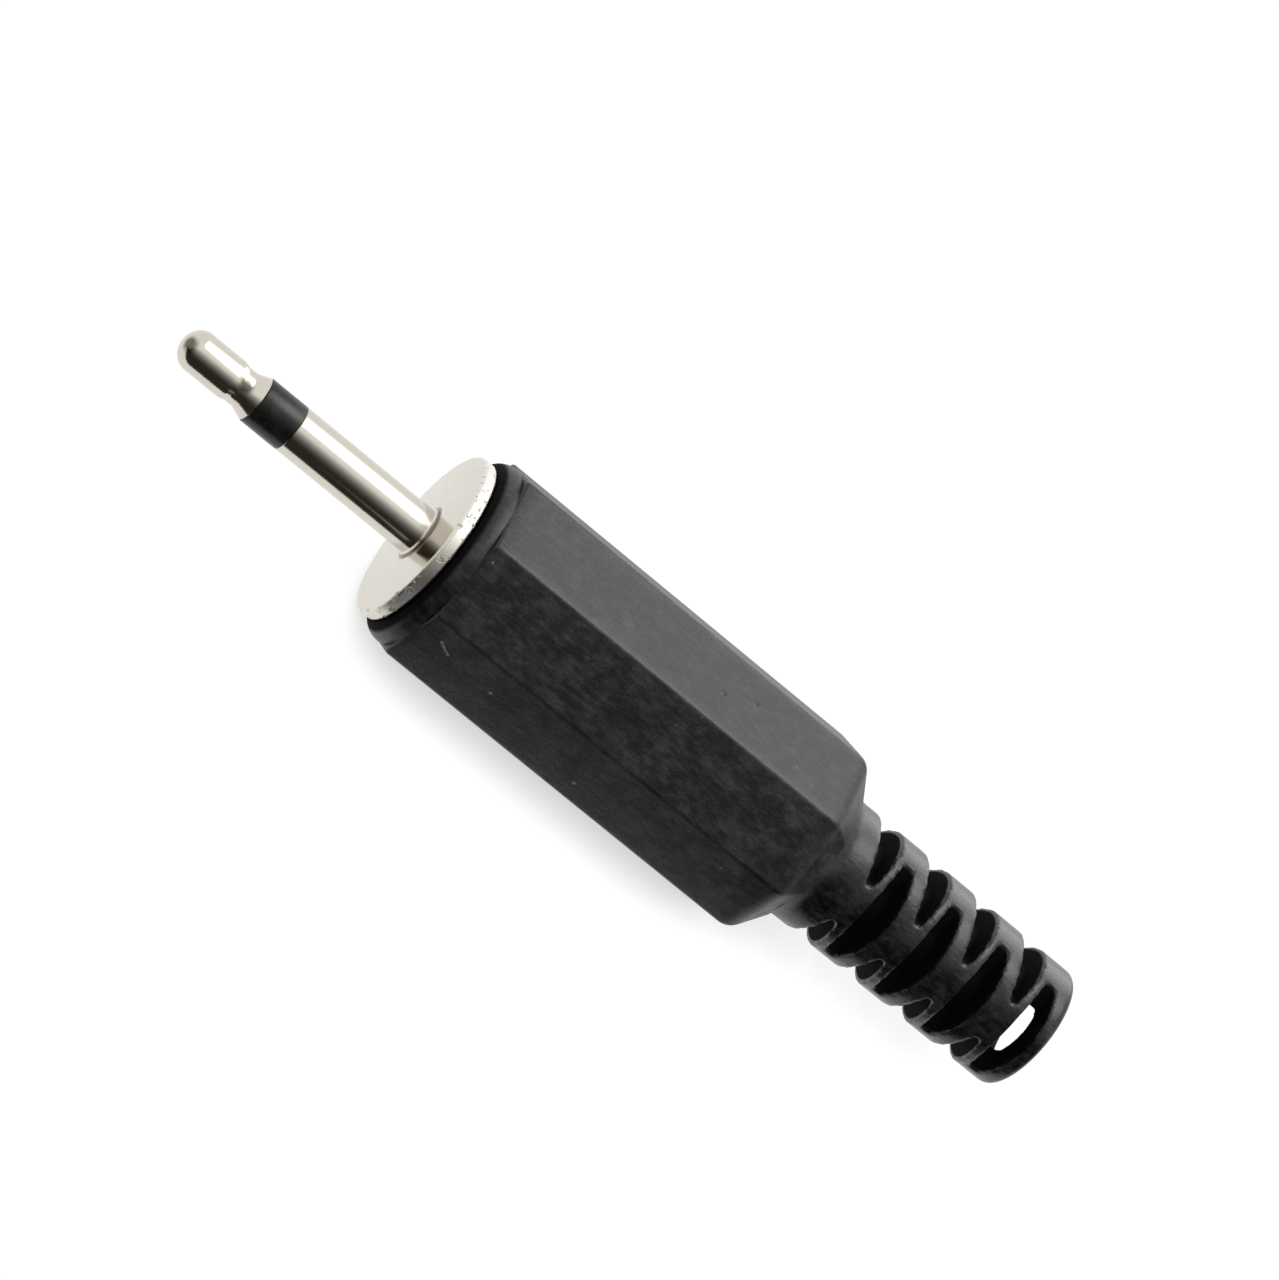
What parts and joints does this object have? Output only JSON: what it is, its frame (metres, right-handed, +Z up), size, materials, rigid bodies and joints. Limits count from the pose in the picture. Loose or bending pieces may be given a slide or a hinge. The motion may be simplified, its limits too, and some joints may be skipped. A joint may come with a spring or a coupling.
{
  "type": "audio jack plug",
  "caption": "Mono pin plug with an insulating ring, round flange, solder lugs and an eight-sided black screw-on handle that ends in a slotted cable boot.",
  "frame": {"origin": "on the plug's axis, at the front face of the flange, where the contact pin starts", "axes": "+X from the contact pin towards the cable, +Z up, with the handle lying on one of its flats"},
  "size_m": [0.0545, 0.0104, 0.0104],
  "materials": {
    "nickel": "polished nickel plating on brass",
    "lug_metal": "tin-plated brass sheet",
    "black_insulator": "black moulded plastic",
    "pale_insulator": "natural moulded plastic",
    "handle_plastic": "black moulded plastic, satin"
  },
  "bodies": {
    "core": {"tip_pin": "nickel", "tip_insulator": "black_insulator", "core_tube": "pale_insulator", "sleeve": "nickel", "earth_lug": "lug_metal", "rear_insulator": "pale_insulator", "tip_lug": "lug_metal"},
    "handle": {"handle": "handle_plastic"}
  },
  "joints": [
    {"name": "handle_pull", "type": "slide", "parent": "core", "child": "handle", "axis": [1, 0, 0], "range_m": [0, 0.024]}
  ]
}
